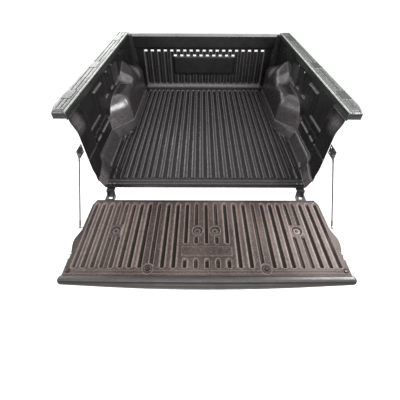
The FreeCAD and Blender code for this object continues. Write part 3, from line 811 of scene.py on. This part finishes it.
def rail_height(x, along):
    """Height of the rail's top below its level, with painted highlights on the rims of its grooves and
    painted shade in them.
    """
    outer, middle, inner = rail_grooves(along)
    ribbed = sum(smooth((along - a) / 4 + 0.5) * smooth((b - along) / 4 + 0.5) for a, b in RIBBED)
    height, rim_highlight, deep = (np.zeros(np.broadcast(x, along).shape) for _ in range(3))
    kinds = [(outer, BROAD_HALF, BROAD_DEPTH, ribbed), (middle, BROAD_HALF, BROAD_DEPTH, ribbed),
             (inner, NARROW_HALF, NARROW_DEPTH, 1.0)]
    for centre, half, fall, share in kinds:
        inside = half - np.abs(x - centre)
        groove = smooth(inside / 2.0 + 0.5)
        height -= fall * share * groove
        deep = np.maximum(deep, share * groove)
        rim_highlight = np.maximum(rim_highlight, 0.85 * share * smooth(1 - np.abs(inside + 1.2) / 1.5))
    ends = smooth((along - 24) / 5 + 0.5)
    height -= 1.2 * (1 - ends) * smooth((x - 724) / 4) * smooth((RAIL_OUT - 26 - x) / 4)
    for a, b in RIBBED:
        rim_highlight = np.maximum(rim_highlight, 0.6 * smooth(1 - np.minimum(np.abs(along - a), np.abs(along - b)) / 3))
    return height, rim_highlight, deep


def rail_profile(along):
    """Points across one rail, from the outer skirt's hem over the top to the inner skirt's hem."""
    outer_edge = RAIL_OUT - 22 * np.clip(1 - (along - RAIL_REAR) / 90, 0, 1) ** 1.3
    outer, middle, inner = rail_grooves(along)
    low = RAIL_UP - RAIL_BEND
    turns = [(math.sin(t), math.cos(t)) for t in np.linspace(0, math.pi / 2, 5)]
    rows = [(outer_edge, RAIL_UP - RAIL_DROP_OUT), (outer_edge, low - 1)]
    rows += [(outer_edge - RAIL_BEND + RAIL_BEND * cos, low + RAIL_BEND * sin) for sin, cos in turns]
    rows += [(centre + step, RAIL_UP) for centre in (outer, middle) for step in BROAD_STEPS]
    rows += [(inner + step, RAIL_UP) for step in NARROW_STEPS]
    rows += [(RAIL_IN + RAIL_BEND - RAIL_BEND * sin, low + RAIL_BEND * cos) for sin, cos in turns]
    rows += [(RAIL_IN, low - 1), (RAIL_IN, RAIL_UP - RAIL_DROP_IN)]
    x = np.stack([np.broadcast_to(a, along.shape) for a, _ in rows], axis=1)
    up = np.stack([np.broadcast_to(b, along.shape) for _, b in rows], axis=1).astype(float)
    on_top = up > RAIL_UP - 0.1
    height, rim_highlight, deep = rail_height(x, along[:, None])
    # painted highlight along the top's two long edges
    border = np.maximum(smooth((RAIL_IN + 5 - x) / 2), smooth((x - outer_edge[:, None] + 4) / 2))
    rim_highlight = np.maximum(on_top * rim_highlight, border * (up > RAIL_UP - 2))
    return x, up + on_top * height, rim_highlight, on_top * deep


def rail_points():
    """The rail's skin, closed at both ends by rows that turn down to its hem."""
    edges = [24] + [end for span in RIBBED for end in span]
    lines = stations(RAIL_REAR + RAIL_TURN, RAIL_FRONT - RAIL_TURN, edges, 30.0)
    x, up, rim_highlight, deep = rail_profile(lines)
    hem = np.minimum(up, RAIL_UP - RAIL_DROP_OUT)
    rows = []
    for end, towards in ((0, -1), (-1, 1)):
        turned = []
        for turn in np.linspace(0, math.pi / 2, 4)[1:]:
            lift = np.maximum(up[end] - RAIL_TURN * (1 - math.cos(turn)), hem[end])
            turned.append(grid(x[end], lines[end] + towards * RAIL_TURN * math.sin(turn), lift))
        turned.append(grid(x[end], lines[end] + towards * RAIL_TURN, hem[end]))
        rows.append(turned)
    extra = len(rows[0])
    rim_highlight, deep = (np.pad(values, ((extra, extra), (0, 0))) for values in (rim_highlight, deep))
    rim_highlight[extra - 2:extra] = 0.6  # the rear end's rounded edge is paler
    points = [np.array(rows[0][::-1]), grid(x, lines[:, None], up), np.array(rows[1])]
    return np.concatenate(points), rim_highlight, deep


def make_rails():
    points, rim_highlight, deep = rail_points()
    for side, step in (("right", 1), ("left", -1)):
        shape = points[:, ::step] * np.array([step, 1, 1])
        piece = grid_object(f"rail_skin_{side}", shape, 0.8 * rim_highlight[:, ::step], deep[:, ::step])
        dress(thicken(piece, RAIL_SHEET), RAIL)
        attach(piece, "tub")
        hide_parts(f"rail_cap_{side}")


make_rails()


# ---- Tailgate liner ------------------------------------------------
# As it lies with the tailgate down, behind the tub, where "along" is negative.
GATE_UP, GATE_NEAR, GATE_FAR, GATE_LIP = -20.0, -95.0, -589.0, 12  # the last is how far its edge turns down
PAD_NEAR, PAD_FAR = -118.0, -545.0  # where the grooves start and end
STEP_LINES, STEP_FALL = (-557, -573), 1.8
GATE_EDGE = 676.0  # half width of the grid, before it is stretched to the outline
GATE_BEND = 5  # radius of its left and right edges
LOBE_STOPS = (95, 123, 305, 340, 372, 400, 436, 452, 589)  # distances behind the tub
LOBE_HALF = (662, 676, 680, 692, 703, 703, 696, 688, 690)  # half width at each
WELLS = [(x, -322.0) for x in (-495, -48, 48, 495)]  # recessed screws
WELL_PAD, WELL, WELL_DEPTH = (33, 41), 25, 8.0  # half size of the flat pad, and radius and depth of the well
BOSSES = [(x, -547.0) for x in (-287, 287)]  # round bosses with a screw
BOSS_PAD, BOSS_RING, DIMPLE, DIMPLE_DEPTH = 31, 22, 13, 3.0  # radii, and the depth round a screw
CORNERS = [(x, -557.0) for x in (-668, 668)]  # corner screws
PLAQUE_HALF, PLAQUE_TOP, PLAQUE_LOW, PLAQUE_PROUD = 130.0, -420.0, -478.0, 2.0
PLAQUE_GAP = 12.0  # between the plaque and the grooves that stop for it
GATE_GROOVES = sorted({s * x for x, _ in groove_lines(GATE_PITCH, GATE_OUTER_PITCH) for s in (-1, 1)})


def gate_half(along):
    """Half width of the liner, with the lobe that stands out past the stay."""
    return np.interp(-along, LOBE_STOPS, LOBE_HALF)


def gate_grooves(x, along):
    """Distance inside the nearest groove. Grooves leave out the plaque and the pads of wells and bosses."""
    inside = np.full(np.broadcast(x, along).shape, -99.0)
    for x0 in GATE_GROOVES:
        spans = [(PAD_FAR, PAD_NEAR)]
        if abs(x0) < 2.5 * GATE_PITCH:
            spans = [(PLAQUE_TOP + PLAQUE_GAP, PAD_NEAR), (PAD_FAR, PLAQUE_LOW - PLAQUE_GAP)]
        for low, high in spans:
            inside = np.maximum(inside, slot_inside(x, along, x0, GATE_GROOVE, low, high))
    for wx, wy in WELLS:
        pad = np.maximum(np.abs(x - wx) - WELL_PAD[0], np.abs(along - wy) - WELL_PAD[1])
        inside = np.minimum(inside, pad)
    for bx, by in BOSSES:
        inside = np.minimum(inside, np.hypot(x - bx, along - by) - BOSS_PAD)
    return inside


def gate_height(x, along):
    """The panel's relief, with painted highlights on its rims and painted shade in its hollows: pads between
    grooves, wells, bosses and the plaque.
    """
    inside = gate_grooves(x, along)
    height = -GATE_DEPTH * smooth(inside / 4.5)
    rim_highlight = rim_band(inside, 3.2)
    shaded = smooth((-330 - x) / 170) * (along > PAD_FAR)  # darker pads towards the left end
    deep = groove_shade(inside) * (1 - 0.6 * shaded) + 0.5 * shaded * smooth((-inside - 3) / 4)
    # painted shade where the near edge rolls over
    deep = np.maximum(deep, 0.6 * smooth((along - PAD_NEAR - 8) / 8))
    # painted shade in the screw dimples and wells, with painted highlights on their rims
    for bx, by in BOSSES:
        far = np.hypot(x - bx, along - by)
        height -= DIMPLE_DEPTH * smooth((DIMPLE - far) / 4 + 0.5)
        height -= 1.6 * smooth((1.5 - np.abs(far - BOSS_RING)) / 2 + 0.5)
        rim_highlight = np.maximum(rim_highlight, smooth(1 - np.abs(far - BOSS_RING - 4) / 3))
        ring = smooth(1 - np.abs(far - BOSS_RING + 0.5) / 3)
        deep = np.maximum(deep, smooth((DIMPLE - 1 - far) / 4) + ring)
    for wx, wy in WELLS:
        far = np.hypot(x - wx, along - wy)
        height -= WELL_DEPTH * smooth((WELL - far) / 3 + 0.5)
        height += 1.5 * smooth((3 - np.abs(far - WELL - 4)) / 3 + 0.5)
        rim_highlight = np.maximum(rim_highlight, smooth(1 - np.abs(far - WELL - 5) / 3))
        deep = np.maximum(deep, smooth(1 - np.abs(far - WELL + 2.5) / 3.5))
    for cx, cy in CORNERS:
        far = np.hypot(x - cx, along - cy)
        height -= DIMPLE_DEPTH * smooth((DIMPLE - 2 - far) / 4 + 0.5)
        deep = np.maximum(deep, smooth((DIMPLE - 1 - far) / 4))
    height += PLAQUE_PROUD * block(x, along, -PLAQUE_HALF, PLAQUE_HALF, PLAQUE_LOW, PLAQUE_TOP, 4)
    edge = np.minimum(PLAQUE_HALF - np.abs(x), np.minimum(PLAQUE_TOP - along, along - PLAQUE_LOW))
    rim_highlight = np.maximum(rim_highlight, 0.5 * smooth(1 - np.abs(edge - 1) / 3))
    deep = np.maximum(deep, 0.8 * smooth(1 - np.abs(edge + 4) / 3))
    for line in STEP_LINES:
        height -= STEP_FALL * smooth((line - along) / 3 + 0.5)
        rim_highlight = np.maximum(rim_highlight, 0.5 * smooth(1 - np.abs(along - line - 2) / 3))
    return height, rim_highlight, deep


def fine(centres, reach, step=3.0):
    """Grid lines close together round each centre."""
    return np.concatenate([np.arange(c - reach, c + reach + step, step) for c in centres])


def thin_out(lines, low, high, gap=0.9):
    """Sorted grid lines within low and high, at least a gap apart."""
    lines = np.unique(np.round(np.clip(lines, low, high), 2))
    kept = [lines[0]]
    for line in lines[1:]:
        if line - kept[-1] >= gap:
            kept.append(line)
    return np.array(kept)


def gate_lines():
    """Where the panel's grid has its columns and rows."""
    edges = [x0 + s * (GATE_GROOVE / 2 - 2.0) for x0 in GATE_GROOVES for s in (-1, 1)]
    plaque = [s * (PLAQUE_HALF + step) for s in (-1, 1) for step in (-7, -3, 0)]
    xs = [stations(-GATE_EDGE, GATE_EDGE, edges, 14.0, 2.6), fine([x for x, _ in WELLS], 36),
          fine([x for x, _ in BOSSES], 33), fine([x for x, _ in CORNERS], 8), plaque]
    marks = [PAD_NEAR, PAD_FAR, *STEP_LINES, PLAQUE_TOP, PLAQUE_LOW]
    marks += [PLAQUE_TOP + PLAQUE_GAP, PLAQUE_LOW - PLAQUE_GAP]
    marks += [WELLS[0][1] + s * (WELL_PAD[1] + 5) for s in (-1, 1)]
    rows = [stations(GATE_FAR, GATE_NEAR, marks, 16.0), fine([WELLS[0][1]], 36), fine([BOSSES[0][1]], 33)]
    xs = thin_out(np.concatenate(xs), -GATE_EDGE, GATE_EDGE)
    return xs, thin_out(np.concatenate(rows), GATE_FAR, GATE_NEAR)[:, None]


def gate_points():
    """The panel's skin: its relief stretched to the outline, with an edge that turns down all round."""
    xs, rows = gate_lines()
    half = gate_half(rows)
    stretch = np.clip((np.abs(xs) - 655) / 21, 0, 1)
    x = xs + np.sign(xs) * stretch * (half - GATE_EDGE)
    height, rim_highlight, deep = gate_height(x, rows)
    turn = np.clip((half - np.abs(x)) / GATE_BEND, 0, 1)
    points = grid(x, rows, GATE_UP + height - GATE_BEND * (1 - np.sqrt(1 - (1 - turn) ** 2)))
    points = np.pad(points, ((1, 1), (1, 1), (0, 0)), mode="edge")
    points[[0, -1], :, 2] = points[:, [0, -1], 2] = GATE_UP - GATE_LIP
    rim_highlight, deep = (np.pad(values, 1, mode="edge") for values in (rim_highlight, deep))
    return points, rim_highlight, deep


def make_gate():
    points, rim_highlight, deep = gate_points()
    piece = settle(grid_object("gate_skin", points, 0.9 * rim_highlight, np.clip(deep, 0, 1)))
    dress(piece, GATE)
    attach(piece, "tailgate")
    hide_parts("tailgate_liner")


make_gate()


# ---- Tailgate cap --------------------------------------------------
CAP_HALF, CAP_TIP = 708.0, 16.0


def cap_section(bow):
    """The cap's section (along, up), deeper and further out as bow goes from 0 at its ends to 1."""
    return [
        (-578, -30), (-580, -23), (-586, -21), (-598, -21), (-604 - 5 * bow, -22), (-606 - 6 * bow, -25),
        (-606 - 6 * bow, -28), (-603 - 6 * bow, -31), (-604 - 7 * bow, -34), (-609 - 12 * bow, -37),
        (-612 - 15 * bow, -42 - 2 * bow), (-612 - 17 * bow, -48 - 8 * bow), (-607 - 16 * bow, -54 - 24 * bow),
        (-600 - 12 * bow, -57 - 31 * bow), (-590, -58 - 32 * bow), (-580, -56 - 30 * bow),
    ]


def make_cap():
    """The cap along the tailgate's free edge: bowed in plan, and rounded to a tip at each end."""
    straight = CAP_HALF - CAP_TIP
    ends = straight + CAP_TIP * np.sin(np.linspace(math.pi / 2, 0, 8))
    xs = np.concatenate([-ends, np.linspace(-straight, straight, 90)[1:-1], ends[::-1]])
    rows = []
    for x in xs:
        section = np.array(cap_section(1 - (x / CAP_HALF) ** 2), dtype=float)
        past = max(abs(x) - straight, 0) / CAP_TIP
        centre = section.mean(axis=0)
        section = centre + (section - centre) * math.sqrt(max(1 - past**2, 0.0004))
        rows.append(np.column_stack([np.full(len(section), x), section]))
    points = np.array(rows)
    points = np.concatenate([points, points[:, :1]], axis=1)
    # painted shade in the cap's groove, painted highlights along its edges
    groove, edge = np.zeros(points.shape[:2]), np.zeros(points.shape[:2])
    groove[:, 7:9] = 1.0
    edge[:, 4:6] = 0.5
    edge[:, 10] = 0.35
    piece = settle(grid_object("gate_cap_skin", points, edge, groove))
    dress(piece, CAP)
    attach(piece, "tailgate")
    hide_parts("tailgate_cap")


make_cap()


# ---- Stay cables, in metres ----------------------------------------
STRAND, LAY = 0.0013, 0.045  # radius of a strand, and length of one turn of its twist
EYE_INSET = 0.010  # from an eye's centre to the cable's end
FERRULE, FERRULE_RADIUS = 0.03, 3.9 * STRAND


def tube(path, radius, sides):
    """Vertices and faces of a round tube along a path of points."""
    path = np.asarray(path)
    run = np.gradient(path, axis=0)
    run /= np.linalg.norm(run, axis=1)[:, None]
    side = np.cross(run, [1.0, 0.0, 0.0])
    side /= np.linalg.norm(side, axis=1)[:, None]
    other = np.cross(run, side)
    turn = np.linspace(0, 2 * math.pi, sides, endpoint=False)
    cos, sin = np.cos(turn)[None, :, None], np.sin(turn)[None, :, None]
    ring = radius * (cos * side[:, None] + sin * other[:, None])
    vertices = (path[:, None] + ring).reshape(-1, 3)
    faces = [
        (r * sides + c, r * sides + (c + 1) % sides, (r + 1) * sides + (c + 1) % sides, (r + 1) * sides + c)
        for r in range(len(path) - 1) for c in range(sides)
    ]
    return vertices, faces


def eye_centre(end, side):
    low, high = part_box(f"stay_eye_{end}_{side}")
    return np.array([(a + b) / 2 for a, b in zip(low, high)])


def cable_tubes(start, end, length):
    """Tubes of one cable: six strands twisted round a core, and a crimped ferrule at each end."""
    along = (end - start) / np.linalg.norm(end - start)
    one = np.cross(along, [1.0, 0.0, 0.0])
    one /= np.linalg.norm(one)
    two = np.cross(along, one)
    steps = np.linspace(0, 1, 110)[:, None]
    line = start + (end - start) * steps
    tubes = [tube(line, STRAND, 6)]
    for i in range(6):
        turn = 2 * math.pi * (i / 6 + steps * length / LAY)
        tubes.append(tube(line + 2 * STRAND * (np.cos(turn) * one + np.sin(turn) * two), STRAND, 6))
    for a, b in ((start, start + along * FERRULE), (end - along * FERRULE, end)):
        tubes.append(tube([a + (b - a) * t for t in (0, 0.1, 0.5, 0.9, 1.0)], FERRULE_RADIUS, 14))
    return tubes


def make_cable(side):
    """The stay cable between its two eyes. It is held by the tub at one end and the tailgate at the other."""
    upper, lower = eye_centre("upper", side), eye_centre("lower", side)
    length = np.linalg.norm(lower - upper)
    along = (lower - upper) / length
    start, end = upper + along * EYE_INSET, lower - along * EYE_INSET
    vertices, faces = [], []
    for points, quads in cable_tubes(start, end, length):
        faces += [tuple(k + len(vertices) for k in quad) for quad in quads]
        vertices += points.tolist()
    mesh = bpy.data.meshes.new(f"cable_{side}")
    mesh.from_pydata(vertices, [], faces)
    mesh.polygons.foreach_set("use_smooth", [True] * len(mesh.polygons))
    piece = show(f"cable_{side}", mesh)
    dress(piece, CABLE)
    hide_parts(f"stay_cable_{side}")
    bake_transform(piece)


for side in ("left", "right"):
    make_cable(side)


# ---- Materials of the CAD nodes that show --------------------------
MATERIAL_OF = {
    "tub_plastic": TUB, "rail_plastic": RAIL, "cap_plastic": TOP_STRIP_HIGHLIGHT, "gate_plastic": GATE,
    "black_plastic": BLACK, "dark_paint": PAINT, "zinc_steel": ZINC, "cable_steel": CABLE,
}
DARK_FASTENERS = {"recess_washers": WASHER, "recess_screws": DULL, "surface_screws": DULL}
for entry in frame["record"]["subparts"]:
    material = DARK_FASTENERS.get(entry["node"]) or MATERIAL_OF[entry["material_slot"]]
    dress(frame["nodes"][entry["node"]], material)
